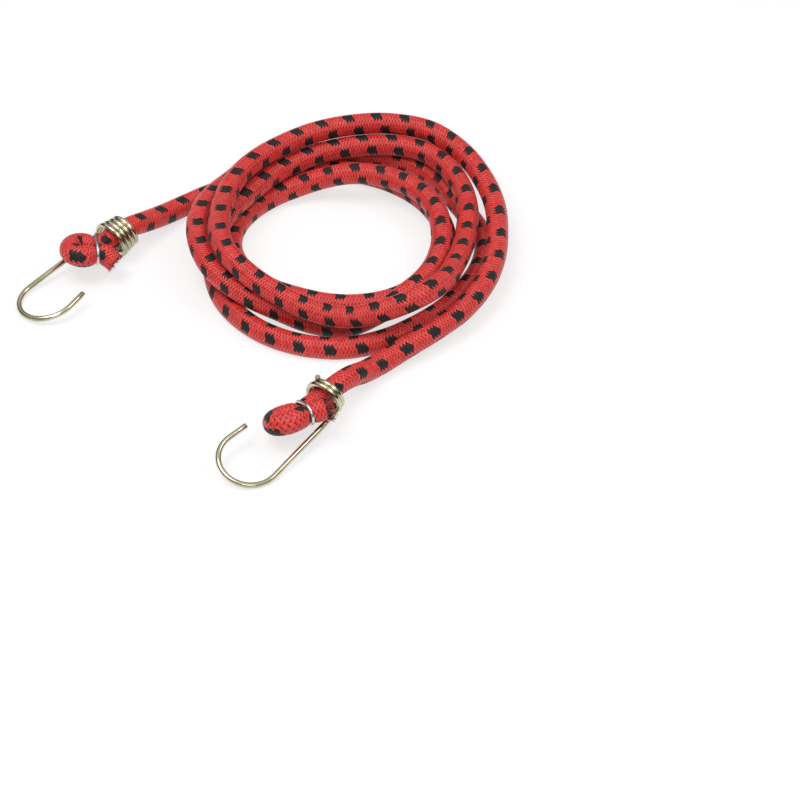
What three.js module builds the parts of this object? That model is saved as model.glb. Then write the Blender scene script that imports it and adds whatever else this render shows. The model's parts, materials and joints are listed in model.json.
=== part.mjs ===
import * as THREE from 'three';

// Bungee cord: a rubber core in a braided sheath, laid on a table in a loose coil.
// Each end runs through the wound neck of a wire hook, folds back and is pinched by a wire clip.
// Millimetres, +Z up. The table is z = 0, and the origin lies under the middle of the whole cord.

// Cord
const CORD_DIAMETER = 8;
const SHEATH_WALL = 0.7;
const CORE_CLEARANCE = 0.35;
const TABLE_FLAT = CORD_DIAMETER / 10;
const JOINT_GAP = 0.3;
const COIL_SIDES = 6;
const LEAD_SIDES = 8;

// Coil. Lanes count cord widths outwards from the innermost lane, and layers count them up from the table.
const INNER_LANE_RADIUS = 34.5;
const STRAND_GAP = 0.5;
const FIRST_STATION_DEG = 150;
const STATIONS_PER_TURN = 12;
const STEPS_PER_STATION = 2;
const TURN_LANES = [
  [3.5, 2, 1.55, 1.05, 0.7, 0.45, 0.25, 0.2, 0.1, 0.15, 0.7, 1.2],
  [1.15, 0.65, 0.15, 0.25, 0.3, 0.25, 0.6, 1.25, 1.55, 1.75, 2.65, 2.65],
  [2.25, 2.5, 2.75, 2.7, 1.95, 2.25, 2.1, 2.35, 3, 2.95, 2.45, 1.85],
  [1.15, 1.4, 2.15, 2.8, 2.05, 1.4, 1.6, 2.7, 2.2, 1.9, 2, 1.6],
  [1.55, 1.85, 2.7, 3.6, 3.2, 2.8, 3.05, 3.45],
];
const TURN_LAYERS = [
  [0, 0, 0, 0, 0, 0, 0, 0, 0, 0, 0, 0],
  [0, 0.3, 0.95, 1, 1, 1, 1, 1, 0, 0.45, 1.3, 1.6],
  [1.25, 0.9, 0.05, 0, 0, 0, 0, 0, 0, 0, 0, 0.8],
  [1.1, 1.05, 1, 1, 1, 1.05, 1.35, 2, 1.1, 1.55, 2.15, 2.1],
  [2.1, 1.98, 1.85, 1.62, 1.1, 0.9, 0.7, 0.4],
];

// Free stretches between the coil and the hooks, measured from the coil's centre
const LEAD_A = [[-79.4, 8.5, 8.4], [-74.6, 14.3, 6.2], [-69.7, 20.1, 4.4], [-65.3, 24.7, 3.5]];
const LEAD_A_ARRIVAL_DEG = 36;
const LEAD_B = [[22.2, -62.9, 5.4], [15.2, -68.3, 4.3], [8.4, -74.8, 5], [2.6, -82.2, 8.6]];
const LEAD_B_DEPARTURE_DEG = -141.5;
const LEAD_B_FALL_DEG = 5;

// Hooks. Each is placed by a point on its neck's axis. The wide end lies that far from it, towards the shank.
const WIRE_DIAMETER = 2.1;
const WIRE_SIDES = 8;
const NECK_CLEARANCE = 0.75;
const NECK_FLARE = 1.2;
const NECK_TURN_GAP = 0.45;
const NECK_WIDE_END = 4.46;
const NECK_STEPS_PER_TURN = 12;
const NECK_BEND_RADIUS = 3;
const NECK_BEND_STEPS = 3;
const CUT_END_STEPS = 2;
const SHANK_LENGTH = 33.3;
const BEND_RADIUS = 11.2;
const BEND_ARC_DEG = 189.5;
const BEND_STEPS = 13;
const TIP_LENGTH = 8.1;
const HOOK_A = {
  centre: [-87.7, 0.4, 8.95], heading: -134.5, pitch: -8.7, roll: 6, turns: 3.75, cutEndLift: 0,
};
const HOOK_B = {
  centre: [-4.9, -91.4, 8.95], heading: -127.5, pitch: -8.1, roll: 166, turns: 2.5, cutEndLift: 1.4,
};
const NECK_ENTRY = 5;

// Folded ends. Each is placed by its clip, and the standing strand lies on the fold's +y side.
const FOLD_RADIUS = 4.6;
const FOLD_STEPS = 6;
const CLIP_STRAND_GAP = 0.6;
const CLIP_WIRE_DIAMETER = 1.2;
const CLIP_CLEARANCE = 0.3;
const CLIP_SEAM = 0.8;
const CLIP_SIDES = 6;
const CLIP_END_STEPS = 6;
const STRAIGHT_PAST_CLIP = 2.5;
const FOLD_A = { centre: [-95.9, -10.8, 10.5], heading: -168, pitch: 7, roll: 186, reach: 5.2 };
const FOLD_B = { centre: [-13.6, -102.6, 9.4], heading: -150, pitch: 0, roll: 208.5, reach: 7.4 };
const TAIL_A = [-88.5, -15.9, 8.2];
const TAIL_B = [-6, -103.3, 11.6];

const CORD_RADIUS = CORD_DIAMETER / 2;
const BORE_RADIUS = CORD_RADIUS - SHEATH_WALL;
const CORE_RADIUS = BORE_RADIUS - CORE_CLEARANCE;
const REST_HEIGHT = CORD_RADIUS - TABLE_FLAT;
const STRAND_PITCH = CORD_DIAMETER + STRAND_GAP;
const WIRE_RADIUS = WIRE_DIAMETER / 2;

const sheathMaterial = new THREE.MeshStandardMaterial({ color: 0xd23434, roughness: 0.75, metalness: 0 });
const coreMaterial = new THREE.MeshStandardMaterial({ color: 0x2a2624, roughness: 0.85, metalness: 0 });
const hookMaterial = new THREE.MeshStandardMaterial({ color: 0xc9bd93, roughness: 0.28, metalness: 1 });
const clipMaterial = new THREE.MeshStandardMaterial({ color: 0xc8cacd, roughness: 0.3, metalness: 1 });

// A placement's local x runs along its heading, tipped up by its pitch, and its roll turns y about x.
function placementGroup(placement) {
  const { degToRad } = THREE.MathUtils;
  const group = new THREE.Group();
  group.position.fromArray(placement.centre);
  group.rotation.set(degToRad(placement.roll), degToRad(-placement.pitch), degToRad(placement.heading), 'ZYX');
  group.updateMatrix();
  return group;
}

function placed(placement, x, y = 0) {
  return new THREE.Vector3(x, y, 0).applyMatrix4(placementGroup(placement).matrix);
}

// A ring stands square to the tangent, with its up as near the wanted one as it can be.
function ring(centre, tangent, wantedUp) {
  const along = tangent.clone().normalize();
  const side = new THREE.Vector3().crossVectors(wantedUp, along).normalize();
  const up = new THREE.Vector3().crossVectors(along, side);
  return { centre, side, up };
}

// Carries a regular polygon along rings, with a flat of the polygon facing away from up.
// A bore makes the tube hollow. Nothing goes below the given floors.
function sweep(rings, sides, radius, floor = -Infinity, boreRadius = 0, boreFloor = -Infinity) {
  const positions = [];
  const indices = [];
  const addRing = ({ centre, side, up }, size, low) => {
    for (let k = 0; k < sides; k += 1) {
      const angle = -Math.PI / 2 + ((k + 0.5) * 2 * Math.PI) / sides;
      const point = centre.clone();
      point.addScaledVector(side, size * Math.cos(angle));
      point.addScaledVector(up, size * Math.sin(angle));
      positions.push(point.x, point.y, Math.max(point.z, low));
    }
  };
  const addQuad = (a, b, c, d) => indices.push(a, b, c, a, c, d);
  const addWall = (first, facesOut) => {
    for (let i = 0; i + 1 < rings.length; i += 1) {
      for (let k = 0; k < sides; k += 1) {
        const near = first + i * sides + k;
        const nearNext = first + i * sides + ((k + 1) % sides);
        if (facesOut) addQuad(near, nearNext, nearNext + sides, near + sides);
        else addQuad(near, near + sides, nearNext + sides, nearNext);
      }
    }
  };
  const last = (rings.length - 1) * sides;
  rings.forEach((each) => addRing(each, radius, floor));
  addWall(0, true);
  if (boreRadius > 0) {
    const bore = rings.length * sides;
    rings.forEach((each) => addRing(each, boreRadius, boreFloor));
    addWall(bore, false);
    for (let k = 0; k < sides; k += 1) {
      const next = (k + 1) % sides;
      addQuad(k, bore + k, bore + next, next);
      addQuad(last + k, last + next, bore + last + next, bore + last + k);
    }
  } else {
    for (let k = 1; k + 1 < sides; k += 1) {
      indices.push(0, k + 1, k);
      indices.push(last, last + k, last + k + 1);
    }
  }
  const geometry = new THREE.BufferGeometry();
  geometry.setAttribute('position', new THREE.Float32BufferAttribute(positions, 3));
  geometry.setIndex(indices);
  geometry.computeVertexNormals();
  return geometry;
}

function addPiece(parent, name, geometry, material) {
  const mesh = new THREE.Mesh(geometry, material.clone());
  mesh.name = name;
  parent.add(mesh);
}

// Least distance between the surfaces of a tube's turns, on points about one millimetre apart
function leastGap(points, diameter) {
  const path = new THREE.CatmullRomCurve3(points, false, 'centripetal');
  path.arcLengthDivisions = points.length * 10;
  const count = Math.round(path.getLength());
  const spaced = path.getSpacedPoints(count);
  const sameStretch = Math.ceil(3 * diameter);
  let least = Infinity;
  for (let i = 0; i < spaced.length; i += 1) {
    for (let j = i + sameStretch; j < spaced.length; j += 1) {
      least = Math.min(least, spaced[i].distanceTo(spaced[j]));
    }
  }
  return least - diameter;
}

// Catmull-Rom value between evenly spaced stations
function between(stations, place) {
  const last = stations.length - 1;
  const index = Math.min(Math.floor(place), last - 1);
  const t = place - index;
  const b = stations[index];
  const c = stations[index + 1];
  const a = index > 0 ? stations[index - 1] : 2 * b - c;
  const d = index + 2 <= last ? stations[index + 2] : 2 * c - b;
  const bend = (2 * a - 5 * b + 4 * c - d) * t * t + (3 * b - a - 3 * c + d) * t * t * t;
  return 0.5 * (2 * b + (c - a) * t + bend);
}

// The coil runs clockwise, seen from above, and each end is straight for one cord diameter.
function coilPoints() {
  const { degToRad } = THREE.MathUtils;
  const lanes = TURN_LANES.flat();
  const layers = TURN_LAYERS.flat();
  const points = [];
  for (let step = 0; step <= (lanes.length - 1) * STEPS_PER_STATION; step += 1) {
    const place = step / STEPS_PER_STATION;
    const angle = degToRad(FIRST_STATION_DEG - (place * 360) / STATIONS_PER_TURN);
    const radius = INNER_LANE_RADIUS + STRAND_PITCH * between(lanes, place);
    const height = REST_HEIGHT + STRAND_PITCH * Math.max(0, between(layers, place));
    points.push(new THREE.Vector3(radius * Math.cos(angle), radius * Math.sin(angle), height));
  }
  const straight = (heading, fall) => new THREE.Vector3(
    Math.cos(degToRad(heading)),
    Math.sin(degToRad(heading)),
    -Math.tan(degToRad(fall)),
  ).setLength(CORD_DIAMETER);
  const start = points[0].clone().sub(straight(LEAD_A_ARRIVAL_DEG, 0));
  const end = points[points.length - 1].clone().add(straight(LEAD_B_DEPARTURE_DEG, LEAD_B_FALL_DEG));
  return [start, ...points, end];
}

// From the cut tail through the clip, round the fold, through the clip again and into the hook's neck
function foldedEndPoints(tail, fold, hook) {
  const strandOffset = CORD_RADIUS + CLIP_STRAND_GAP / 2;
  const points = [new THREE.Vector3(...tail)];
  points.push(placed(fold, -STRAIGHT_PAST_CLIP, -strandOffset));
  points.push(placed(fold, 0, -strandOffset));
  for (let step = 0; step <= FOLD_STEPS; step += 1) {
    const turn = (Math.PI * step) / FOLD_STEPS;
    points.push(placed(fold, fold.reach + FOLD_RADIUS * Math.sin(turn), -FOLD_RADIUS * Math.cos(turn)));
  }
  points.push(placed(fold, 0, strandOffset));
  points.push(placed(fold, -STRAIGHT_PAST_CLIP, strandOffset));
  points.push(placed(hook, -NECK_ENTRY));
  return points;
}

// Sheath and core, in stretches that meet face to face along one route from tail to tail
function addCord(parent) {
  const coil = coilPoints();
  const stretches = [
    { name: 'end_a', sides: LEAD_SIDES, points: foldedEndPoints(TAIL_A, FOLD_A, HOOK_A) },
    { name: 'lead_a', sides: LEAD_SIDES, points: LEAD_A.map((point) => new THREE.Vector3(...point)) },
    { name: 'coil', sides: COIL_SIDES, points: coil },
    { name: 'lead_b', sides: LEAD_SIDES, points: LEAD_B.map((point) => new THREE.Vector3(...point)) },
    { name: 'end_b', sides: LEAD_SIDES, points: foldedEndPoints(TAIL_B, FOLD_B, HOOK_B).reverse() },
  ];
  const route = new THREE.CatmullRomCurve3(stretches.flatMap(({ points }) => points), false, 'centripetal');
  const lastIndex = route.points.length - 1;
  const worldUp = new THREE.Vector3(0, 0, 1);
  let index = 0;
  stretches.forEach(({ name, sides, points }) => {
    const isLead = name.startsWith('lead');
    const first = isLead ? index - 1 : index;
    const last = isLead ? index + points.length : index + points.length - 1;
    const rings = [];
    for (let k = first; k <= last; k += 1) {
      const tangent = route.getTangent(k / lastIndex);
      const centre = route.points[k].clone();
      if (k === first) centre.addScaledVector(tangent, JOINT_GAP / 2);
      if (k === last) centre.addScaledVector(tangent, -JOINT_GAP / 2);
      rings.push(ring(centre, tangent, worldUp));
    }
    const sheath = sweep(rings, sides, CORD_RADIUS, 0, BORE_RADIUS, SHEATH_WALL);
    const core = sweep(rings, sides, CORE_RADIUS, SHEATH_WALL + CORE_CLEARANCE);
    addPiece(parent, `sheath_${name}`, sheath, sheathMaterial);
    addPiece(parent, `core_${name}`, core, coreMaterial);
    index += points.length;
  });
  console.log(`Cord length ${route.getLength().toFixed(0)} mm`);
  console.log(`Coil's least gap to itself ${leastGap(coil, CORD_DIAMETER).toFixed(2)} mm`);
}

// Stations of a wire: where its centre runs, and which way its outer side faces
function wireGeometry(stations, sides, radius) {
  const rings = stations.map(({ centre, up }, i) => {
    const before = stations[Math.max(i - 1, 0)].centre;
    const after = stations[Math.min(i + 1, stations.length - 1)].centre;
    return ring(centre, after.clone().sub(before), up);
  });
  return sweep(rings, sides, radius);
}

// One wire: a flared neck wound about x, a bend into the shank, the J-shaped bend and a straight tip
function hookStations(turns, cutEndLift) {
  const turnPitch = WIRE_DIAMETER + NECK_TURN_GAP;
  const narrowRadius = CORD_RADIUS + NECK_CLEARANCE + WIRE_RADIUS;
  const wideRadius = narrowRadius + NECK_FLARE;
  const neckLength = turns * turnPitch;
  const endAngle = Math.PI - Math.asin(NECK_BEND_RADIUS / wideRadius);
  const stations = [];
  const addNeck = (x, y, z) => {
    const up = new THREE.Vector3(0, y, z).normalize();
    stations.push({ centre: new THREE.Vector3(x, y, z), up });
  };
  const neckSteps = Math.round(turns * NECK_STEPS_PER_TURN);
  for (let step = 0; step <= neckSteps; step += 1) {
    const share = step / neckSteps;
    const angle = endAngle - (1 - share) * turns * 2 * Math.PI;
    const lift = cutEndLift * Math.max(0, 1 - step / CUT_END_STEPS) ** 2;
    const radius = narrowRadius + NECK_FLARE * share + lift;
    addNeck(NECK_WIDE_END - (1 - share) * neckLength, radius * Math.cos(angle), radius * Math.sin(angle));
  }
  for (let step = 1; step <= NECK_BEND_STEPS; step += 1) {
    const turn = ((Math.PI / 2) * step) / NECK_BEND_STEPS;
    const z = NECK_BEND_RADIUS * (1 - Math.sin(turn));
    const x = NECK_WIDE_END + NECK_BEND_RADIUS * (1 - Math.cos(turn));
    addNeck(x, -Math.sqrt(wideRadius ** 2 - z ** 2), z);
  }
  const bendStart = NECK_WIDE_END + NECK_BEND_RADIUS + SHANK_LENGTH;
  const arc = THREE.MathUtils.degToRad(BEND_ARC_DEG);
  for (let step = 0; step <= BEND_STEPS; step += 1) {
    const turn = (arc * step) / BEND_STEPS;
    const up = new THREE.Vector3(Math.sin(turn), -Math.cos(turn), 0);
    const centre = new THREE.Vector3(bendStart, BEND_RADIUS - wideRadius, 0).addScaledVector(up, BEND_RADIUS);
    stations.push({ centre, up });
  }
  const bendEnd = stations[stations.length - 1];
  const tip = bendEnd.centre.clone();
  tip.x += TIP_LENGTH * Math.cos(arc);
  tip.y += TIP_LENGTH * Math.sin(arc);
  stations.push({ centre: tip, up: bendEnd.up });
  return stations;
}

function addHook(parent, name, placement) {
  const stations = hookStations(placement.turns, placement.cutEndLift);
  const group = placementGroup(placement);
  addPiece(group, name, wireGeometry(stations, WIRE_SIDES, WIRE_RADIUS), hookMaterial);
  parent.add(group);
  const neck = stations.filter(({ centre }) => centre.x < SHANK_LENGTH).map(({ centre }) => centre);
  console.log(`${name}: the neck's least gap to itself ${leastGap(neck, WIRE_DIAMETER).toFixed(2)} mm`);
}

// A wire ring round both strands, with the seam of its two ends on the hidden side
function addClip(parent, name, fold) {
  const strandOffset = CORD_RADIUS + CLIP_STRAND_GAP / 2;
  const loopRadius = CORD_RADIUS + CLIP_CLEARANCE + CLIP_WIRE_DIAMETER / 2;
  const seamSide = new THREE.Vector3(0, 0, 1);
  const stations = [{ centre: new THREE.Vector3(0, -CLIP_SEAM / 2, loopRadius), up: seamSide }];
  [-1, 1].forEach((strand) => {
    for (let step = 0; step <= CLIP_END_STEPS; step += 1) {
      const turn = (Math.PI * step) / CLIP_END_STEPS;
      const up = new THREE.Vector3(0, strand * Math.sin(turn), -strand * Math.cos(turn));
      const centre = new THREE.Vector3(0, strand * strandOffset, 0).addScaledVector(up, loopRadius);
      stations.push({ centre, up });
    }
  });
  stations.push({ centre: new THREE.Vector3(0, CLIP_SEAM / 2, loopRadius), up: seamSide });
  const group = placementGroup(fold);
  addPiece(group, name, wireGeometry(stations, CLIP_SIDES, CLIP_WIRE_DIAMETER / 2), clipMaterial);
  parent.add(group);
}

const laidOut = new THREE.Group();
addCord(laidOut);
addHook(laidOut, 'hook_a', HOOK_A);
addHook(laidOut, 'hook_b', HOOK_B);
addClip(laidOut, 'clip_a', FOLD_A);
addClip(laidOut, 'clip_b', FOLD_B);

const middle = new THREE.Box3().setFromObject(laidOut, true).getCenter(new THREE.Vector3());
laidOut.position.set(-middle.x, -middle.y, 0);

const bungeeCord = new THREE.Group();
bungeeCord.add(laidOut);

export default bungeeCord;
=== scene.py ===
import json

import bpy
import numpy as np
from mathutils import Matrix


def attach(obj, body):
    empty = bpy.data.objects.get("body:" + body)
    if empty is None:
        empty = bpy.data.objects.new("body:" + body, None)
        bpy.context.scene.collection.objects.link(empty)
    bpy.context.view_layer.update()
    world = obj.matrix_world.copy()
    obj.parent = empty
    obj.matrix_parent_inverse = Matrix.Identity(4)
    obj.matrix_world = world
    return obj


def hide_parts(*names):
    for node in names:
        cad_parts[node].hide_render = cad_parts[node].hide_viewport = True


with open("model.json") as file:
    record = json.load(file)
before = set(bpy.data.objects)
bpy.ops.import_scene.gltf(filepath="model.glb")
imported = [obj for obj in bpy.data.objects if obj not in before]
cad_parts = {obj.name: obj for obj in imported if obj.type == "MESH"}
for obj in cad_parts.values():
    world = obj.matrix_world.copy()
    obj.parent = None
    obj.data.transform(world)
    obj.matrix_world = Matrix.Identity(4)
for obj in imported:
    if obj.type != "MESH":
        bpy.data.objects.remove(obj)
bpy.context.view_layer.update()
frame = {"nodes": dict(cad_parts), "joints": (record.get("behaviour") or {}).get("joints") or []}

# View
# The cord lies on a white table and is seen from the front, 42 degrees above the table,
# through a long lens, so the coil narrows only a little towards its back.
MM = 0.001
SENSOR_WIDTH = 36
IMAGE_WIDTH_PX = 800
FOCAL_LENGTH_PX = 2820.5
VIEW_ELEVATION_DEG = 42
COIL_TO_CAMERA = np.array([20.67, -852.9, 691.1])
HOOK_A = {
    "centre": np.array([-87.7, 0.4, 8.95]), "heading": -134.5, "pitch": -8.7, "roll": 6,
    "turns": 3.75, "cut_end_lift": 0,
}
HOOK_B = {
    "centre": np.array([-4.9, -91.4, 8.95]), "heading": -127.5, "pitch": -8.1, "roll": 166,
    "turns": 2.5, "cut_end_lift": 1.5,
}

swivels = {joint["name"]: np.array(joint["pos_m"]) / MM for joint in frame["joints"]}
coil_centre = swivels["hook_a_swivel"] - HOOK_A["centre"]

camera_data = bpy.data.cameras.new("camera")
camera_data.sensor_width = SENSOR_WIDTH
camera_data.lens = SENSOR_WIDTH * FOCAL_LENGTH_PX / IMAGE_WIDTH_PX
camera_data.clip_start = 0.05
camera = bpy.data.objects.new("camera", camera_data)
camera.location = (coil_centre + COIL_TO_CAMERA) * MM
camera.rotation_euler = (np.radians(90 - VIEW_ELEVATION_DEG), 0, 0)
bpy.context.scene.collection.objects.link(camera)
bpy.context.scene.camera = camera

# Braided sheath
# One sleeve of red yarn with a few black ends, braided over the whole length of the rubber core.
# It lies in a loose coil of about four and a half turns, and each end runs through a hook's neck
# and folds back.
CORD_RADIUS = 4
STRAND_PITCH = 8.5
REST_HEIGHT = 3.2
INNER_LANE_RADIUS = 34.5
FIRST_STATION_DEG = 150
STATIONS_PER_TURN = 12
STEPS_PER_STATION = 2
TURN_LANES = [
    [3.5, 2, 1.55, 1.05, 0.7, 0.45, 0.25, 0.2, 0.1, 0.15, 0.7, 1.2],
    [1.15, 0.65, 0.15, 0.25, 0.3, 0.25, 0.6, 1.25, 1.55, 1.75, 2.65, 2.65],
    [2.25, 2.5, 2.75, 2.7, 1.95, 2.25, 2.1, 2.35, 3, 2.95, 2.45, 1.85],
    [1.15, 1.4, 2.15, 2.8, 2.05, 1.4, 1.6, 2.7, 2.2, 1.9, 2, 1.6],
    [1.55, 1.85, 2.7, 3.6, 3.2, 2.8, 3.05, 3.45],
]
TURN_LAYERS = [
    [0, 0, 0, 0, 0, 0, 0, 0, 0, 0, 0, 0],
    [0, 0.3, 0.95, 1, 1, 1, 1, 1, 0, 0.45, 1.3, 1.6],
    [1.25, 0.9, 0.05, 0, 0, 0, 0, 0, 0, 0, 0, 0.8],
    [1.1, 1.05, 1, 1, 1, 1.05, 1.35, 2, 1.1, 1.55, 2.15, 2.1],
    [2.1, 1.98, 1.85, 1.62, 1.1, 0.9, 0.7, 0.4],
]
LEAD_A = [[-79.4, 8.5, 8.4], [-74.6, 14.3, 6.2], [-69.7, 20.1, 4.4], [-65.3, 24.7, 3.5]]
LEAD_A_ARRIVAL_DEG = 36
LEAD_B = [[22.2, -62.9, 5.4], [15.2, -68.3, 4.3], [8.4, -74.8, 5], [2.6, -82.2, 8.6]]
LEAD_B_DEPARTURE_DEG = -141.5
LEAD_B_FALL_DEG = 5
NECK_ENTRY = 5
FOLD_A = {
    "centre": np.array([-95.9, -10.8, 10.5]), "heading": -168, "pitch": 7, "roll": 186, "reach": 5.2,
}
FOLD_B = {
    "centre": np.array([-13.6, -102.6, 9.4]), "heading": -150, "pitch": 0, "roll": 208.5, "reach": 7.4,
}
TAIL_A = [-88.5, -15.9, 8.2]
TAIL_B = [-6, -103.3, 11.6]
FOLD_RADIUS = 4.6
FOLD_STEPS = 6
STRAIGHT_PAST_CLIP = 3
PINCHED_RADIUS = 3
PINCH_REACH = 1.9
TAIL_NARROWING = 0.35
TAIL_NARROWING_REACH = 2.5
SLACK_SWELL = 0.22
NECK_HOLD_REACH = 13
POINTS_PER_SPAN = 24
RING_STEP = 0.9
SHEATH_SIDES = 40
SHEATH_LIP = 0.7
TAIL_RECESS = 1.2
STITCH_COLUMNS = 16
STITCHES_PER_REPEAT = 9
BLACK_STITCHES = 3
STITCHES_PER_ROW_STEP = 0.25
BLACK_STANDS_PROUD = 0.85
FLECK_PLACES = [
    -98, -47, -25, 0, 303, 364, 415, 445, 526, 780, 846, 907,
    1110, 1198, 1270, 1316, 1358, 1397, 1456, 1507, 1520, 1535, 1602,
]
FLECK_COUNTS = [
    -37.3, -32, -29.6, -27.6, 0, 6, 10, 13, 21, 43, 49, 54,
    71, 80, 86, 90, 94, 97, 102, 106, 107.25, 108.25, 113.5,
]
FLECK_ROW_PLACES = [
    -98, -47, -30, 303, 415, 526, 800, 907, 955,
    1110, 1200, 1320, 1383, 1434, 1535, 1548, 1602,
]
FLECK_ROW_DEG = [-35, -35, -10, -12, 0, -9, -27, -24, 0, 8, -10, -5, 14, 46, 58, 98, 98]
UP = np.array([0.0, 0.0, 1.0])


def axes_of(placement):
    """Rows x, y, z of a placed frame: x runs along its heading, tipped up by its pitch,
    and roll turns y about x."""
    heading, pitch, roll = np.radians([placement["heading"], placement["pitch"], placement["roll"]])
    level_y = np.array([-np.sin(heading), np.cos(heading), 0])
    x = np.array([np.cos(heading) * np.cos(pitch), np.sin(heading) * np.cos(pitch), np.sin(pitch)])
    level_z = np.cross(x, level_y)
    y = np.cos(roll) * level_y + np.sin(roll) * level_z
    return np.array([x, y, np.cross(x, y)])


def placed(placement, points):
    """Points of a placed frame, as the frame's centre plus each coordinate times its axis."""
    return placement["centre"] + np.asarray(points, float) @ axes_of(placement)


def along_stations(stations, places):
    """Catmull-Rom values between evenly spaced stations: a cubic whose slope at a station
    is half the step from the station before it to the one after it."""
    before = 2 * stations[0] - stations[1]
    after = 2 * stations[-1] - stations[-2]
    held = np.concatenate([[before], stations, [after]])
    index = np.minimum(places.astype(int), len(stations) - 2)
    t = places - index
    a, b, c, d = (held[index + k] for k in range(4))
    square = (2 * a - 5 * b + 4 * c - d) * t**2
    cube = (3 * b - a - 3 * c + d) * t**3
    return 0.5 * (2 * b + (c - a) * t + square + cube)


def coil_points():
    """Radius is the inner lane's plus a strand pitch per lane, and height the rest height plus
    a strand pitch per layer, turning clockwise. A straight step leads in, and another leads out."""
    lanes = np.concatenate(TURN_LANES)
    layers = np.concatenate(TURN_LAYERS)
    places = np.arange((len(lanes) - 1) * STEPS_PER_STATION + 1) / STEPS_PER_STATION
    angles = np.radians(FIRST_STATION_DEG - places * 360 / STATIONS_PER_TURN)
    radii = INNER_LANE_RADIUS + STRAND_PITCH * along_stations(lanes, places)
    heights = REST_HEIGHT + STRAND_PITCH * np.maximum(0, along_stations(layers, places))
    turns = np.stack([radii * np.cos(angles), radii * np.sin(angles), heights], axis=1)
    arrival = straight(LEAD_A_ARRIVAL_DEG, 0)
    departure = straight(LEAD_B_DEPARTURE_DEG, LEAD_B_FALL_DEG)
    return np.vstack([turns[0] - arrival, turns, turns[-1] + departure])


def straight(heading_deg, fall_deg):
    """A step of one cord diameter along a heading, falling by an angle."""
    heading, fall = np.radians([heading_deg, fall_deg])
    level = np.cos(fall)
    return 2 * CORD_RADIUS * np.array([level * np.cos(heading), level * np.sin(heading), -np.sin(fall)])


def folded_end_points(tail, fold, hook):
    """Tail, pinched strand, half circle round the fold, the other pinched strand
    and the narrow end of the neck."""
    turn = np.linspace(0, np.pi, FOLD_STEPS + 1)
    forward = fold["reach"] + FOLD_RADIUS * np.sin(turn)
    round_fold = np.stack([forward, -FOLD_RADIUS * np.cos(turn), 0 * turn], axis=1)
    before = [[-STRAIGHT_PAST_CLIP, -CORD_RADIUS, 0], [0, -PINCHED_RADIUS, 0]]
    after = [[0, PINCHED_RADIUS, 0], [-STRAIGHT_PAST_CLIP, CORD_RADIUS, 0]]
    doubled = placed(fold, np.vstack([before, round_fold, after]))
    return np.vstack([[tail], doubled, placed(hook, [[-NECK_ENTRY, 0, 0]])])


def smooth_run(points, step):
    """Centripetal Catmull-Rom: cubics whose end slopes weigh the chords by the roots
    of their lengths, as evenly spaced points."""
    held = np.vstack([2 * points[0] - points[1], points, 2 * points[-1] - points[-2]])
    chords = np.diff(held, axis=0)
    roots = np.sqrt(np.linalg.norm(chords, axis=1))[:, None]
    rates = chords / roots
    pairs = (held[2:] - held[:-2]) / (roots[1:] + roots[:-1])
    start_slopes = (rates[:-2] - pairs[:-1] + rates[1:-1]) * roots[1:-1]
    end_slopes = (rates[1:-1] - pairs[1:] + rates[2:]) * roots[1:-1]
    t = np.linspace(0, 1, POINTS_PER_SPAN, endpoint=False)[None, :, None]
    first, last = points[:-1, None], points[1:, None]
    cubic = (2 * t**3 - 3 * t**2 + 1) * first + (t**3 - 2 * t**2 + t) * start_slopes[:, None]
    cubic = cubic + (3 * t**2 - 2 * t**3) * last + (t**3 - t**2) * end_slopes[:, None]
    return evenly_spaced(np.vstack([cubic.reshape(-1, 3), points[-1:]]), step)


def evenly_spaced(line, step):
    """The same line as points one step apart, found at even shares of its summed length."""
    lengths = np.concatenate([[0], np.cumsum(np.linalg.norm(np.diff(line, axis=0), axis=1))])
    wanted = np.linspace(0, lengths[-1], int(np.ceil(lengths[-1] / step)) + 1)
    return np.stack([np.interp(wanted, lengths, line[:, k]) for k in range(3)], axis=1)


def ring_axes(line, wanted_up):
    """Along is the line's slope, side is the wanted up crossed with along,
    and up is along crossed with side."""
    along = np.gradient(line, axis=0)
    along /= np.linalg.norm(along, axis=1, keepdims=True)
    side = np.cross(wanted_up, along)
    side /= np.linalg.norm(side, axis=1, keepdims=True)
    return along, side, np.cross(along, side)


def tube_grid(line, radii, sides, wanted_up):
    """Rings of points: centre plus radius times cos(angle) of side and sin(angle) of up."""
    _, side, up = ring_axes(line, wanted_up)
    angles = np.arange(sides) * 2 * np.pi / sides
    radii = np.broadcast_to(radii, len(line))[:, None, None]
    spokes = np.cos(angles)[None, :, None] * side[:, None] + np.sin(angles)[None, :, None] * up[:, None]
    return line[:, None] + radii * spokes


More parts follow.
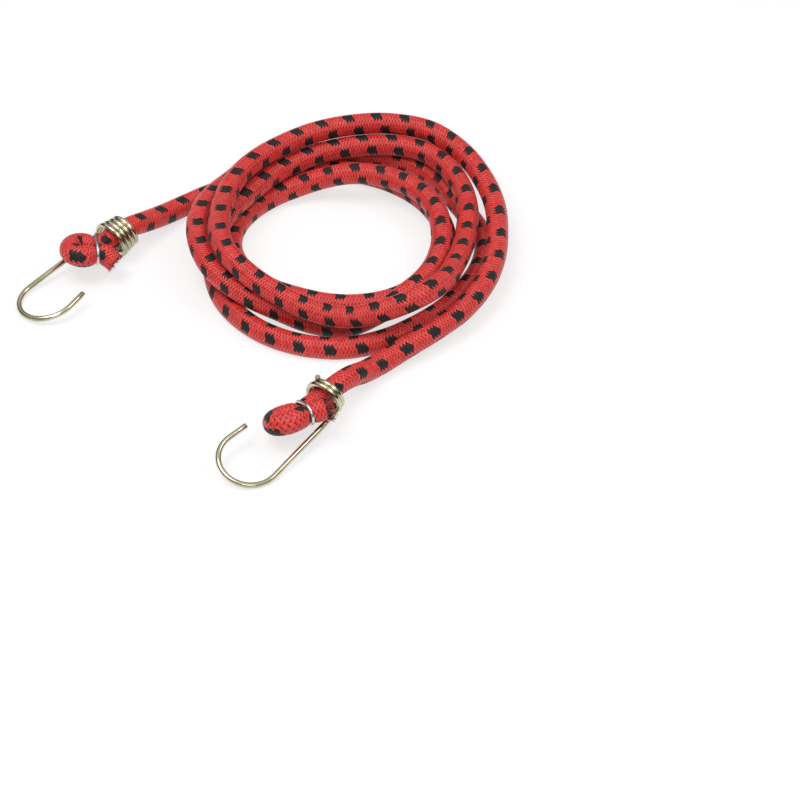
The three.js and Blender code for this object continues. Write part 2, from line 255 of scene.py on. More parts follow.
def skinned(name, tubes, body, material, uv=None):
    """Quads between neighbouring rings of each tube and a face over each end, as one piece
    that rides on a body. A tube's map, if any, has one column more than its rings,
    because the last column meets the first."""
    count, rings, sides = tubes.shape[:3]
    corner = np.arange(count * rings * sides).reshape(count, rings, sides)
    following = np.roll(corner, -1, axis=2)
    in_order = [corner[:, :-1], following[:, :-1], following[:, 1:], corner[:, 1:]]
    quads = np.stack(in_order, axis=-1).reshape(-1, 4)
    ends = np.concatenate([corner[:, 0, ::-1], corner[:, -1]])
    loops = np.concatenate([quads.ravel(), ends.ravel()])
    sizes = np.repeat([4, sides], [len(quads), len(ends)])
    mesh = bpy.data.meshes.new(name)
    mesh.vertices.add(corner.size)
    mesh.vertices.foreach_set("co", (tubes * MM).astype(np.float32).ravel())
    mesh.loops.add(len(loops))
    mesh.loops.foreach_set("vertex_index", loops.astype(np.int32))
    mesh.polygons.add(len(sizes))
    mesh.polygons.foreach_set("loop_start", (np.cumsum(sizes) - sizes).astype(np.int32))
    mesh.polygons.foreach_set("use_smooth", np.repeat([True, False], [len(quads), len(ends)]))
    mesh.update(calc_edges=True)
    if uv is not None:
        corners = [uv[:, :-1, :-1], uv[:, :-1, 1:], uv[:, 1:, 1:], uv[:, 1:, :-1]]
        on_ends = np.concatenate([uv[:, 0, -2::-1], uv[:, -1, :-1]])
        per_loop = np.concatenate([np.stack(corners, axis=3).reshape(-1, 2), on_ends.reshape(-1, 2)])
        mesh.uv_layers.new(name="run").data.foreach_set("uv", per_loop.astype(np.float32).ravel())
    mesh.validate()
    mesh.materials.append(material)
    piece = bpy.data.objects.new(name, mesh)
    bpy.context.scene.collection.objects.link(piece)
    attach(piece, body)
    return piece


def calc(tree, operation, *values):
    """Output of a Math node that works the operation on sockets and plain numbers."""
    step = tree.nodes.new("ShaderNodeMath")
    step.operation = operation
    for socket, value in zip(step.inputs, values):
        if isinstance(value, bpy.types.NodeSocket):
            tree.links.new(value, socket)
        else:
            socket.default_value = value
    return step.outputs[0]


def blended(tree, share, first, second):
    """Output of a Mix node that goes from the first colour to the second by a share."""
    mix = tree.nodes.new("ShaderNodeMix")
    mix.data_type = "RGBA"
    for socket, value in zip((mix.inputs[0], mix.inputs[6], mix.inputs[7]), (share, first, second)):
        if isinstance(value, bpy.types.NodeSocket):
            tree.links.new(value, socket)
        else:
            socket.default_value = value
    return mix.outputs[2]


def new_group(name, inputs, outputs):
    """An empty node group with named float sockets, and its two end nodes."""
    group = bpy.data.node_groups.new(name, "ShaderNodeTree")
    for label, default in inputs.items():
        socket = group.interface.new_socket(label, in_out="INPUT", socket_type="NodeSocketFloat")
        socket.default_value = default
    for label in outputs:
        group.interface.new_socket(label, in_out="OUTPUT", socket_type="NodeSocketFloat")
    return group, group.nodes.new("NodeGroupInput").outputs, group.nodes.new("NodeGroupOutput").inputs


def placed_group(tree, group, **values):
    """A node group placed in a tree, with its inputs set or linked by name."""
    node = tree.nodes.new("ShaderNodeGroup")
    node.node_tree = group
    for label, value in values.items():
        socket = node.inputs[label.replace("_", " ")]
        if isinstance(value, bpy.types.NodeSocket):
            tree.links.new(value, socket)
        else:
            socket.default_value = value
    return node.outputs


def new_material(name, roughness, metallic):
    """A material with one Principled shader, and the tree and shader to work on."""
    material = bpy.data.materials.new(name)
    material.use_nodes = True
    shader = material.node_tree.nodes["Principled BSDF"]
    shader.inputs["Roughness"].default_value = roughness
    shader.inputs["Metallic"].default_value = metallic
    return material, material.node_tree, shader


def stitch_group():
    """One column's stitch under a point. Across counts columns from the stitch's middle, and Along
    counts stitches. Height falls off with the squares of both. Stitches lean the other way in every
    second column, and each column starts half a stitch after the last, so neighbours lock into teeth.
    Two columns in four stay red, and in the others three stitches in nine are black, a quarter of the
    repeat earlier in each row of flecks."""
    half_length, half_width, lean = 0.95, 0.48, 0.4
    columns_per_row, black_columns = 4, 2
    half_step = STITCHES_PER_ROW_STEP / 2
    inputs = {"Around": 0, "Along": 0, "Column": 0}
    group, given, wanted = new_group("stitch", inputs, ("Height", "Fleck", "Number", "Rib"))
    across = calc(group, "SUBTRACT", calc(group, "SUBTRACT", given["Around"], given["Column"]), 0.5)
    odd = calc(group, "FLOORED_MODULO", given["Column"], 2)
    slope = calc(group, "MULTIPLY_ADD", odd, -2 * lean, lean)
    shifted = calc(group, "MULTIPLY_ADD", given["Column"], 0.5, given["Along"])
    run = calc(group, "MULTIPLY_ADD", slope, across, shifted)
    number = calc(group, "FLOOR", run)
    offset = calc(group, "SUBTRACT", calc(group, "SUBTRACT", run, number), 0.5)
    end_fall = calc(group, "POWER", calc(group, "DIVIDE", across, half_length), 2)
    side_fall = calc(group, "POWER", calc(group, "DIVIDE", offset, half_width), 2)
    height = calc(group, "SUBTRACT", calc(group, "SUBTRACT", 1, end_fall), side_fall)
    row = calc(group, "FLOOR", calc(group, "DIVIDE", given["Column"], columns_per_row))
    in_row = calc(group, "MULTIPLY_ADD", row, -columns_per_row, given["Column"])
    is_black_column = calc(group, "LESS_THAN", in_row, black_columns - 0.5)
    stepped = calc(group, "MULTIPLY_ADD", row, STITCHES_PER_ROW_STEP, number)
    in_repeat = calc(group, "FLOORED_MODULO", stepped, STITCHES_PER_REPEAT)
    is_black_stitch = calc(group, "LESS_THAN", in_repeat, BLACK_STITCHES - half_step)
    fleck = calc(group, "MULTIPLY", is_black_column, is_black_stitch)
    group.links.new(calc(group, "MULTIPLY_ADD", fleck, BLACK_STANDS_PROUD, height), wanted["Height"])
    group.links.new(fleck, wanted["Fleck"])
    group.links.new(number, wanted["Number"])
    group.links.new(offset, wanted["Rib"])
    return group


def braid_group():
    """The taller of the two stitches that can lie over a point: its own column's
    and the nearer neighbour's. Yarn is a rectified sine, one hump for each yarn across a stitch."""
    yarn_ends = 3
    stitch = stitch_group()
    inputs = {"Turn": 0, "Stitches": 0}
    group, given, wanted = new_group("braid", inputs, ("Height", "Fleck", "Tint", "Yarn"))
    around = calc(group, "MULTIPLY", given["Turn"], STITCH_COLUMNS)
    along = given["Stitches"]
    own_column = calc(group, "FLOOR", around)
    past_middle = calc(group, "GREATER_THAN", calc(group, "SUBTRACT", around, own_column), 0.5)
    next_column = calc(group, "ADD", own_column, calc(group, "MULTIPLY_ADD", past_middle, 2, -1))
    own = placed_group(group, stitch, Around=around, Along=along, Column=own_column)
    near = placed_group(group, stitch, Around=around, Along=along, Column=next_column)
    near_on_top = calc(group, "GREATER_THAN", near["Height"], own["Height"])

    def on_top(first, second):
        """The first value, plus the change to the second where the neighbour's stitch is taller."""
        change = calc(group, "SUBTRACT", second, first)
        return calc(group, "MULTIPLY_ADD", change, near_on_top, first)

    column = calc(group, "FLOORED_MODULO", on_top(own_column, next_column), STITCH_COLUMNS)
    place = group.nodes.new("ShaderNodeCombineXYZ")
    group.links.new(column, place.inputs[0])
    group.links.new(on_top(own["Number"], near["Number"]), place.inputs[1])
    random = group.nodes.new("ShaderNodeTexWhiteNoise")
    group.links.new(place.outputs[0], random.inputs["Vector"])
    rib = on_top(own["Rib"], near["Rib"])
    wave = calc(group, "SINE", calc(group, "MULTIPLY", rib, np.pi * yarn_ends))
    yarn = calc(group, "ABSOLUTE", wave)
    group.links.new(calc(group, "MAXIMUM", own["Height"], near["Height"]), wanted["Height"])
    group.links.new(on_top(own["Fleck"], near["Fleck"]), wanted["Fleck"])
    group.links.new(random.outputs["Value"], wanted["Tint"])
    group.links.new(yarn, wanted["Yarn"])
    return group


def sheath_material():
    """Red and black yarn. Each stitch has its own tint, has painted shade on its red where it dives
    under its neighbours, and is ribbed."""
    material, tree, shader = new_material("braided sheath", 0.5, 0)
    shader.inputs["Sheen Weight"].default_value = 0.05
    shader.inputs["Sheen Roughness"].default_value = 0.4
    shader.inputs["Specular IOR Level"].default_value = 0.45
    run = tree.nodes.new("ShaderNodeUVMap")
    run.uv_map = "run"
    parts = tree.nodes.new("ShaderNodeSeparateXYZ")
    tree.links.new(run.outputs[0], parts.inputs[0])
    braid = placed_group(tree, braid_group(), Turn=parts.outputs[0], Stitches=parts.outputs[1])
    red = blended(tree, braid["Tint"], (0.70, 0.032, 0.027, 1), (0.86, 0.060, 0.052, 1))
    black = blended(tree, braid["Tint"], (0.003, 0.002, 0.002, 1), (0.010, 0.007, 0.006, 1))
    # Painted shade: the red fades to a dark valley colour where a stitch lies low under its neighbours.
    painted_shade_share = tree.nodes.new("ShaderNodeMapRange")
    painted_shade_share.interpolation_type = "SMOOTHSTEP"
    painted_shade_share.inputs["From Max"].default_value = 0.8
    tree.links.new(braid["Height"], painted_shade_share.inputs["Value"])
    red_with_painted_shade = blended(tree, painted_shade_share.outputs[0], (0.15, 0.004, 0.006, 1), red)
    tree.links.new(blended(tree, braid["Fleck"], red_with_painted_shade, black), shader.inputs["Base Color"])
    dull = calc(tree, "MULTIPLY_ADD", braid["Fleck"], 0.2, 0.46)
    tree.links.new(calc(tree, "MULTIPLY_ADD", braid["Yarn"], -0.1, dull), shader.inputs["Roughness"])
    relief = calc(tree, "MULTIPLY_ADD", braid["Yarn"], 0.12, braid["Height"])
    bump = tree.nodes.new("ShaderNodeBump")
    bump.inputs["Strength"].default_value = 0.9
    bump.inputs["Distance"].default_value = 0.22 * MM
    tree.links.new(relief, bump.inputs["Height"])
    tree.links.new(bump.outputs[0], shader.inputs["Normal"])
    return material


def sheath_radii(line):
    """Cord radius plus a swell away from the necks, less a bell-shaped pinch where a clip crosses
    and at each tail."""
    strands = [[0, -PINCHED_RADIUS, 0], [0, PINCHED_RADIUS, 0]]
    crossings = np.vstack([placed(fold, strands) for fold in (FOLD_A, FOLD_B)])
    from_clip = np.linalg.norm(line[:, None] - crossings[None], axis=2)
    pinch = (CORD_RADIUS - PINCHED_RADIUS) * np.exp(-((from_clip / PINCH_REACH) ** 2)).sum(axis=1)
    from_tail = np.minimum(*(np.linalg.norm(line - end, axis=1) for end in (line[0], line[-1])))
    taper = TAIL_NARROWING * np.exp(-((from_tail / TAIL_NARROWING_REACH) ** 2))
    necks = (HOOK_A["centre"], HOOK_B["centre"])
    from_neck = np.minimum(*(np.linalg.norm(line - neck, axis=1) for neck in necks))
    swell = SLACK_SWELL * (1 - np.exp(-((from_neck / NECK_HOLD_REACH) ** 2)))
    return CORD_RADIUS + swell - pinch - taper


def braid_map(line, sides):
    """Turn counts once round from the row of flecks nearest the top, and stitches come from the
    counted flecks. Both are read at the length of the cord past the coil's first point."""
    lengths = np.linspace(0, np.linalg.norm(np.diff(line, axis=0), axis=1).sum(), len(line))
    first_point = np.linalg.norm(line - coil_points()[0], axis=1).argmin()
    past_start = lengths - lengths[first_point]
    past_start = np.concatenate([past_start[[0, 0]], past_start, past_start[[-1, -1]]])
    middle_of_fleck = (BLACK_STITCHES - 0.5) / 2
    stitches = STITCHES_PER_REPEAT * np.interp(past_start, FLECK_PLACES, FLECK_COUNTS) + middle_of_fleck
    row_turn = np.interp(past_start, FLECK_ROW_PLACES, FLECK_ROW_DEG) / 360
    top_of_cord = 0.25
    middle_of_row = 1 / STITCH_COLUMNS
    turns = top_of_cord + middle_of_row - np.linspace(0, 1, sides + 1)[None] - row_turn[:, None]
    return np.stack(np.broadcast_arrays(turns, stitches[:, None]), axis=-1)


route = np.vstack([
    folded_end_points(TAIL_A, FOLD_A, HOOK_A),
    LEAD_A,
    coil_points(),
    LEAD_B,
    folded_end_points(TAIL_B, FOLD_B, HOOK_B)[::-1],
])
sheath_line = smooth_run(route, RING_STEP)
tail_along = ring_axes(sheath_line, UP)[0][[0, -1]]
lip_radius = CORD_RADIUS - TAIL_NARROWING - SHEATH_LIP
outer_radii = sheath_radii(sheath_line)
outer_grid = tube_grid(sheath_line, outer_radii, SHEATH_SIDES, UP)
lips = tube_grid(sheath_line, lip_radius, SHEATH_SIDES, UP)[[0, -1]]
sheath_grid = np.concatenate([
    lips[:1] + TAIL_RECESS * tail_along[0],
    lips[:1],
    outer_grid,
    lips[1:],
    lips[1:] - TAIL_RECESS * tail_along[1],
])
sheath_grid[..., 2] = np.maximum(sheath_grid[..., 2], 0)
sheath_uv = braid_map(sheath_line, SHEATH_SIDES)
centre_shift = np.append(coil_centre[:2], 0)
sheath_tube = (sheath_grid + centre_shift)[None]
sheath = skinned("braided_sheath", sheath_tube, "cord", sheath_material(), sheath_uv[None])
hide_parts(*(node for node in frame["nodes"] if node.startswith("sheath_")))

# Rubber core
# A bundle of latex threads that fills the sheath and gives the cord its pull.
# It is cut with the sheath, so it shows only at the two tails, a little inside the sheath's lip.
THREAD_RADIUS = 0.45
THREAD_RINGS = 4
THREAD_SPACING = 0.86
THREAD_SIDES = 8
THREAD_LENGTH = 1.6
THREAD_CUT_SHORT = 0.5
THREAD_CUT_LONG = 0.25
THREAD_EDGE_SHARE = 0.85
THREAD_TIP_SHARE = 0.8


def bundle_places():
    """Hexagonal packing: each ring of the bundle has six more threads than the ring inside it."""
    ring = np.repeat(np.arange(1, THREAD_RINGS), 6 * np.arange(1, THREAD_RINGS))
    index = np.concatenate([np.arange(6 * k) for k in range(1, THREAD_RINGS)])
    angle = 2 * np.pi * index / (6 * ring)
    radius = THREAD_SPACING * ring
    return np.vstack([[0, 0], np.stack([radius * np.cos(angle), radius * np.sin(angle)], axis=1)])


def core_material():
    """Dark brown latex with a dusty, uneven cut."""
    material, tree, shader = new_material("rubber core", 0.8, 0)
    place = tree.nodes.new("ShaderNodeTexCoord")
    dust = tree.nodes.new("ShaderNodeTexNoise")
    dust.inputs["Scale"].default_value = 900
    dust.inputs["Detail"].default_value = 4
    tree.links.new(place.outputs["Object"], dust.inputs["Vector"])
    tint = blended(tree, dust.outputs["Fac"], (0.030, 0.025, 0.022, 1), (0.16, 0.13, 0.11, 1))
    tree.links.new(tint, shader.inputs["Base Color"])
    bump = tree.nodes.new("ShaderNodeBump")
    bump.inputs["Strength"].default_value = 0.4
    bump.inputs["Distance"].default_value = 0.1 * MM
    tree.links.new(dust.outputs["Fac"], bump.inputs["Height"])
    tree.links.new(bump.outputs[0], shader.inputs["Normal"])
    return material


def core_stub(name, tail, outwards, side, up):
    """Short threads side by side, each from the bottom of the recess to its own height near the lip."""
    across, high = bundle_places().T[:, :, None]
    foot = tail + across * side + high * up - THREAD_LENGTH * outwards
    reach = THREAD_LENGTH + core_seeds.uniform(-THREAD_CUT_SHORT, THREAD_CUT_LONG, len(foot))
    shares = np.array([0, THREAD_EDGE_SHARE, 1])
    line = foot[:, None] + reach[:, None, None] * shares[:, None] * outwards
    angles = np.arange(THREAD_SIDES) * 2 * np.pi / THREAD_SIDES
    spokes = np.cos(angles)[:, None] * side + np.sin(angles)[:, None] * up
    radii = THREAD_RADIUS * np.array([1, 1, THREAD_TIP_SHARE])
    threads = line[:, :, None] + radii[:, None, None] * spokes
    return skinned(name, threads + centre_shift, "cord", core_look)


core_look = core_material()
core_seeds = np.random.default_rng(7)
tail_ends = sheath_line[[0, -1]]
tail_outwards = tail_along * [[-1], [1]]
tail_up = ring_axes(sheath_line, UP)[2][[0, -1]]
tail_side = np.cross(tail_up, tail_outwards)
core_a = core_stub("rubber_core_a", tail_ends[0], tail_outwards[0], tail_side[0], tail_up[0])
core_b = core_stub("rubber_core_b", tail_ends[1], tail_outwards[1], tail_side[1], tail_up[1])
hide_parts("core_end_a", "core_lead_a", "core_coil")
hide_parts("core_end_b", "core_lead_b")

# Frayed tails
# Where the sheath was cut, its loose yarn ends stand out round the core in a short ragged fringe.
# They are the braid's own red and black yarns. Tail B is longer and fans out towards the hook's neck.
YARN_RADIUS = 0.17
YARN_TIP_SHARE = 0.45
YARN_SIDES = 4
YARN_RINGS = 6
YARN_ROOT_DEPTH = 1.0
SHORTEST_YARN_SHARE = 0.35
INWARD_SPREAD_SHARE = -0.5
FRINGE_A = {
    "yarns": 150, "length": 2.2, "spread": 0.7, "drift": 0.5,
    "black_middle_deg": 60, "black_half_deg": 110,
}
FRINGE_B = {
    "yarns": 190, "length": 4.2, "spread": 0.7, "drift": 0.5,
    "black_middle_deg": 60, "black_half_deg": 180,
}


def fringe_material():
    """Red yarn, or black where the map's first value is high, with painted shade towards the root."""
    material, tree, shader = new_material("frayed yarn", 0.6, 0)
    run = tree.nodes.new("ShaderNodeUVMap")
    run.uv_map = "run"
    parts = tree.nodes.new("ShaderNodeSeparateXYZ")
    tree.links.new(run.outputs[0], parts.inputs[0])
    # Painted shade: both yarn colours go darker from the tip towards the root, deep in the fringe.
    red = blended(tree, parts.outputs[1], (0.36, 0.014, 0.015, 1), (0.80, 0.055, 0.050, 1))
    black = blended(tree, parts.outputs[1], (0.006, 0.006, 0.007, 1), (0.030, 0.028, 0.030, 1))
    is_black = calc(tree, "GREATER_THAN", parts.outputs[0], 0.5)
    tree.links.new(blended(tree, is_black, red, black), shader.inputs["Base Color"])
    return material


def fringe(name, sizes, tail, outwards, side, up):
    """Yarns rooted round the lip. Each runs outwards, and the square of its run bends it
    away from the axis and round it."""
    count = sizes["yarns"]
    round_tail = fringe_seeds.uniform(0, 2 * np.pi, count)
    length = sizes["length"] * fringe_seeds.uniform(SHORTEST_YARN_SHARE, 1, count)
    spread = sizes["spread"] * fringe_seeds.uniform(INWARD_SPREAD_SHARE, 1, count)
    drift = sizes["drift"] * fringe_seeds.uniform(-1, 1, count)
    root_radius = lip_radius + SHEATH_LIP * fringe_seeds.uniform(0, 1, count)
    radial = np.cos(round_tail)[:, None] * side + np.sin(round_tail)[:, None] * up
    around = np.cross(outwards, radial)
    share = np.linspace(0, 1, YARN_RINGS)
    run = share[None, :, None] * length[:, None, None]
    sideways = length[:, None] * (spread[:, None] * radial + drift[:, None] * around)
    bend = (share**2)[None, :, None] * sideways[:, None]
    roots = tail - YARN_ROOT_DEPTH * outwards + root_radius[:, None] * radial
    line = roots[:, None] + run * outwards + bend
    angles = np.arange(YARN_SIDES) * 2 * np.pi / YARN_SIDES
    spokes = np.cos(angles)[:, None] * side + np.sin(angles)[:, None] * up
    radii = YARN_RADIUS * (1 - (1 - YARN_TIP_SHARE) * share)
    yarns = line[:, :, None] + radii[:, None, None] * spokes
    from_black = (np.degrees(round_tail) - sizes["black_middle_deg"] + 180) % 360 - 180
    tone = (np.abs(from_black) < sizes["black_half_deg"]) * fringe_seeds.uniform(0.3, 1, count)
    map_shape = (count, YARN_RINGS, YARN_SIDES + 1)
    tones = np.broadcast_to(tone[:, None, None], map_shape)
    shares = np.broadcast_to(share[None, :, None], map_shape)
    uv = np.stack([tones, shares], axis=-1)
    return skinned(name, yarns + centre_shift, "cord", fringe_look, uv)


fringe_look = fringe_material()
fringe_seeds = np.random.default_rng(11)
fringe_a = fringe("frayed_tail_a", FRINGE_A, tail_ends[0], tail_outwards[0], tail_side[0], tail_up[0])
fringe_b = fringe("frayed_tail_b", FRINGE_B, tail_ends[1], tail_outwards[1], tail_side[1], tail_up[1])

# Hooks
# Each hook is one length of steel wire: a neck wound round the cord, a straight shank, a bend and
# a short tip. It is plated with yellow zinc. The folded end keeps the neck on the cord, and the neck
# turns freely.
WIRE_RADIUS = 1.06
WIRE_SIDES = 20
NECK_TURN_PITCH = 2.16
NECK_NARROW_RADIUS = 5.78
NECK_WIDE_RADIUS = 7
NECK_WIDE_END = 4.46
NECK_FLARE_POWER = 1.4
NECK_BEND_RADIUS = 3
CUT_END_TURN = 0.09
SHANK_LENGTH = 33.3
BEND_RADIUS = 11.2
BEND_ARC_DEG = 189.5
TIP_LENGTH = 8.1
CUT_EDGE = 0.12
NECK_POINTS = 190
LEAVING_POINTS = 10
SHANK_POINTS = 10
BEND_POINTS = 60


def hook_line(turns, cut_end_lift):
    """Helix of growing radius about x, quarter bend into the shank, shank, arc and straight tip,
    all in one frame. Returns the line and, for each point, the way its outer side faces."""
    end_angle = np.pi - np.arcsin(NECK_BEND_RADIUS / NECK_WIDE_RADIUS)
    share = np.linspace(0, 1, NECK_POINTS)
    angle = end_angle - (1 - share) * turns * 2 * np.pi
    lift = cut_end_lift * np.clip(1 - share * turns / CUT_END_TURN, 0, 1) ** 2
    flare = (NECK_WIDE_RADIUS - NECK_NARROW_RADIUS) * share**NECK_FLARE_POWER
    radius = NECK_NARROW_RADIUS + flare + lift
    x = NECK_WIDE_END - (1 - share) * turns * NECK_TURN_PITCH
    neck = np.stack([x, radius * np.cos(angle), radius * np.sin(angle)], axis=1)
    turn = np.linspace(0, np.pi / 2, LEAVING_POINTS)[1:]
    z = NECK_BEND_RADIUS * (1 - np.sin(turn))
    leaving_x = NECK_WIDE_END + NECK_BEND_RADIUS * (1 - np.cos(turn))
    leaving = np.stack([leaving_x, -np.sqrt(NECK_WIDE_RADIUS**2 - z**2), z], axis=1)
    bend_start = NECK_WIDE_END + NECK_BEND_RADIUS + SHANK_LENGTH
    shank_x = np.linspace(leaving_x[-1], bend_start, SHANK_POINTS + 2)[1:-1]
    shank = np.stack([shank_x, np.full(SHANK_POINTS, -NECK_WIDE_RADIUS), 0 * shank_x], axis=1)
    arc = np.radians(np.linspace(0, BEND_ARC_DEG, BEND_POINTS))
    outward = np.stack([np.sin(arc), -np.cos(arc), 0 * arc], axis=1)
    bend = np.array([bend_start, BEND_RADIUS - NECK_WIDE_RADIUS, 0]) + BEND_RADIUS * outward
    heading = np.array([np.cos(arc[-1]), np.sin(arc[-1]), 0])
    tip_shares = np.array([[0.5], [1 - CUT_EDGE / TIP_LENGTH], [1]])
    tip = bend[-1] + tip_shares * TIP_LENGTH * heading
    wound = np.vstack([neck, leaving]) * [0, 1, 1]
    wound /= np.linalg.norm(wound, axis=1, keepdims=True)
    on_shank = np.tile([0, -1, 0], (SHANK_POINTS, 1))
    on_tip = np.tile(outward[-1], (len(tip), 1))
    return np.vstack([neck, leaving, shank, bend, tip]), np.vstack([wound, on_shank, outward, on_tip])


def hook_material():
    """Yellow zinc: pale gold that drifts to olive and rose along the wire, with gloss that varies
    in fine lines, left by drawing the wire."""
    material, tree, shader = new_material("yellow zinc wire", 0.24, 1)
    run = tree.nodes.new("ShaderNodeUVMap")
    run.uv_map = "run"
    place = tree.nodes.new("ShaderNodeTexCoord")
    drift = tree.nodes.new("ShaderNodeTexNoise")
    drift.inputs["Scale"].default_value = 90
    drift.inputs["Detail"].default_value = 3
    tree.links.new(place.outputs["Object"], drift.inputs["Vector"])
    ramp = tree.nodes.new("ShaderNodeValToRGB")
    stops = (
        (0.25, (0.38, 0.38, 0.24, 1)),
        (0.45, (0.55, 0.50, 0.34, 1)),
        (0.6, (0.69, 0.64, 0.48, 1)),
        (0.8, (0.60, 0.48, 0.40, 1)),
    )
    while len(ramp.color_ramp.elements) < len(stops):
        ramp.color_ramp.elements.new(0.5)
    for element, (position, colour) in zip(ramp.color_ramp.elements, stops):
        element.position = position
        element.color = colour
    tree.links.new(drift.outputs["Fac"], ramp.inputs["Fac"])
    tree.links.new(ramp.outputs["Color"], shader.inputs["Base Color"])
    stretch = tree.nodes.new("ShaderNodeMapping")
    stretch.inputs["Scale"].default_value = (60, 0.6, 1)
    tree.links.new(run.outputs[0], stretch.inputs["Vector"])
    drawn = tree.nodes.new("ShaderNodeTexNoise")
    drawn.inputs["Scale"].default_value = 1
    drawn.inputs["Detail"].default_value = 2
    tree.links.new(stretch.outputs[0], drawn.inputs["Vector"])
    gloss = calc(tree, "MULTIPLY_ADD", drawn.outputs["Fac"], 0.12, 0.1)
    tree.links.new(gloss, shader.inputs["Roughness"])
    return material


def wire_piece(name, placement, line, facing, radius, sides, body, material):
    """A round wire along a placed line, with a narrow bevel round each cut end,
    and a map of turn and length."""
    lengths = np.concatenate([[0], np.cumsum(np.linalg.norm(np.diff(line, axis=0), axis=1))])
    radii = np.full(len(line), radius)
    radii[[0, -1]] = radius - CUT_EDGE
    placed_line = placed(placement, line)
    grid = tube_grid(placed_line, radii, sides, facing @ axes_of(placement))
    turns = np.linspace(0, 1, sides + 1)
    uv = np.stack(np.broadcast_arrays(turns[None], lengths[:, None]), axis=-1)
    return skinned(name, (grid + centre_shift)[None], body, material, uv[None])


hook_look = hook_material()
for node, placement in (("hook_a", HOOK_A), ("hook_b", HOOK_B)):
    line, facing = hook_line(placement["turns"], placement["cut_end_lift"])
    hook = wire_piece(
        f"{node}_wire", placement, line, facing,
        WIRE_RADIUS, WIRE_SIDES, node, hook_look,
    )
    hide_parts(node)

# Clips
# A ring of thinner wire, bright zinc plated, closed round both strands of each folded end with pliers.
# It pinches the strands together so the fold can't pull back through the hook's neck.
CLIP_WIRE_RADIUS = 0.7
CLIP_WIRE_SIDES = 14
CLIP_SEAM = 0.5
CLIP_TURN_POINTS = 24


def clip_line():
    """Two half circles round the pinched strands, joined by straight runs, from one side of the seam
    to the other. Returns the line and, for each point, the way its outer side faces."""
    loop_radius = PINCHED_RADIUS + CLIP_WIRE_RADIUS
    turn = np.linspace(0, np.pi, CLIP_TURN_POINTS)
    outward = np.stack([0 * turn, -np.sin(turn), np.cos(turn)], axis=1)
    lower = np.array([0, -PINCHED_RADIUS, 0]) + loop_radius * outward
    upper = np.array([0, PINCHED_RADIUS, 0]) - loop_radius * outward
    ends = np.array([[0, -CLIP_SEAM, loop_radius], [0, CLIP_SEAM, loop_radius]])
    seam_side = np.array([[0, 0, 1]])
    line = np.vstack([ends[:1], lower, upper, ends[1:]])
    return line, np.vstack([seam_side, outward, -outward, seam_side])


def clip_material():
    """Bright zinc: blue-white metal with soft spangles and small scuffs."""
    material, tree, shader = new_material("bright zinc wire", 0.3, 1)
    place = tree.nodes.new("ShaderNodeTexCoord")
    spangle = tree.nodes.new("ShaderNodeTexNoise")
    spangle.inputs["Scale"].default_value = 420
    spangle.inputs["Detail"].default_value = 3
    tree.links.new(place.outputs["Object"], spangle.inputs["Vector"])
    tint = blended(tree, spangle.outputs["Fac"], (0.50, 0.52, 0.55, 1), (0.83, 0.84, 0.86, 1))
    tree.links.new(tint, shader.inputs["Base Color"])
    gloss = calc(tree, "MULTIPLY_ADD", spangle.outputs["Fac"], 0.3, 0.15)
    tree.links.new(gloss, shader.inputs["Roughness"])
    return material


clip_look = clip_material()
for node, fold in (("clip_a", FOLD_A), ("clip_b", FOLD_B)):
    line, facing = clip_line()
    clip = wire_piece(
        f"{node}_wire", fold, line, facing,
        CLIP_WIRE_RADIUS, CLIP_WIRE_SIDES, "cord", clip_look,
    )
    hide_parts(node)

# Studio
# A white table under broad, soft light from above, the front and the right, with nothing else near.
# The right lamp draws the bright line down each shank, between the darker room and the lit table.
FLOOR_SIZE = 4
KEY_LIGHT = {"place": (-0.35, -0.1, 1.1), "size": 0.6, "watts": 5.3}
FILL_LIGHT = {"place": (0.15, -0.9, 0.9), "size": 0.5, "watts": 2}
SIDE_LIGHT = {"place": (0.71, 0.03, 0.97), "size": 0.42, "watts": 2.2}
CEILING_GREY = 0.7
WALL_GREY = 0.03
WALL_TOP_RISE = 0.25
CEILING_EDGE_RISE = 0.65
FLOOR_GLOW = 0.68


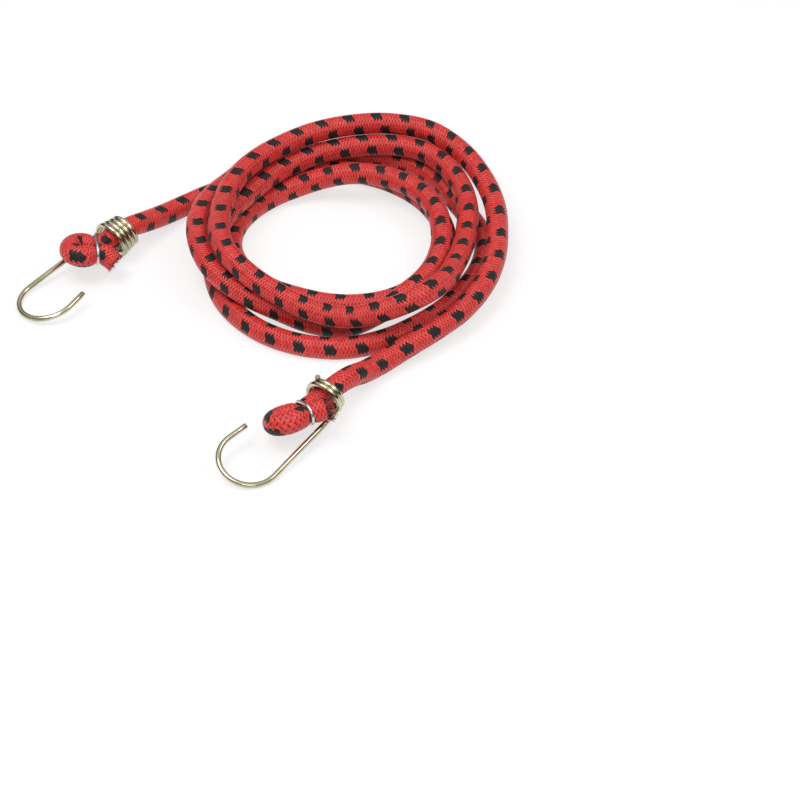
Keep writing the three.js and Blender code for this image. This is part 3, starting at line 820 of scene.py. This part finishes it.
def floor_material():
    """White paint mixed with a share of glow for rays of the eye and of gloss, so that it reads
    as plain white to both and still takes part of the cord's shadow."""
    material, tree, shader = new_material("white table", 0.9, 0)
    shader.inputs["Base Color"].default_value = (0.97, 0.97, 0.97, 1)
    shader.inputs["Specular IOR Level"].default_value = 0
    glow = tree.nodes.new("ShaderNodeEmission")
    seen = tree.nodes.new("ShaderNodeLightPath")
    mix = tree.nodes.new("ShaderNodeMixShader")
    mirrored = calc(tree, "MAXIMUM", seen.outputs["Is Glossy Ray"], seen.outputs["Is Transmission Ray"])
    looked_at = calc(tree, "MAXIMUM", seen.outputs["Is Camera Ray"], mirrored)
    tree.links.new(calc(tree, "MULTIPLY", looked_at, FLOOR_GLOW), mix.inputs[0])
    tree.links.new(shader.outputs[0], mix.inputs[1])
    tree.links.new(glow.outputs[0], mix.inputs[2])
    tree.links.new(mix.outputs[0], tree.nodes["Material Output"].inputs["Surface"])
    return material


corners = np.array([[-1, -1, 0], [1, -1, 0], [1, 1, 0], [-1, 1, 0]]) * FLOOR_SIZE / 2
floor_mesh = bpy.data.meshes.new("table")
floor_mesh.from_pydata(corners.tolist(), [], [(0, 1, 2, 3)])
floor_mesh.materials.append(floor_material())
floor = bpy.data.objects.new("table", floor_mesh)
bpy.context.scene.collection.objects.link(floor)

for label, light in (("key", KEY_LIGHT), ("fill", FILL_LIGHT), ("side", SIDE_LIGHT)):
    lamp_data = bpy.data.lights.new(label, "AREA")
    lamp_data.size = light["size"]
    lamp_data.energy = light["watts"]
    lamp = bpy.data.objects.new(label, lamp_data)
    lamp.location = light["place"]
    away = np.array(light["place"])
    lean = np.arccos(away[2] / np.linalg.norm(away))
    lamp.rotation_euler = (lean, 0, np.arctan2(away[1], away[0]) + np.pi / 2)
    bpy.context.scene.collection.objects.link(lamp)

world = bpy.data.worlds.new("studio")
world.use_nodes = True
room = world.node_tree
direction = room.nodes.new("ShaderNodeTexCoord")
direction_parts = room.nodes.new("ShaderNodeSeparateXYZ")
room.links.new(direction.outputs["Generated"], direction_parts.inputs[0])
rise = room.nodes.new("ShaderNodeMapRange")
rise.interpolation_type = "SMOOTHSTEP"
rise.inputs["From Min"].default_value = WALL_TOP_RISE
rise.inputs["From Max"].default_value = CEILING_EDGE_RISE
rise.inputs["To Min"].default_value = WALL_GREY
rise.inputs["To Max"].default_value = CEILING_GREY
room.links.new(direction_parts.outputs["Z"], rise.inputs["Value"])
room.links.new(rise.outputs[0], room.nodes["Background"].inputs["Color"])
bpy.context.scene.world = world
bpy.context.scene.view_settings.view_transform = "Standard"
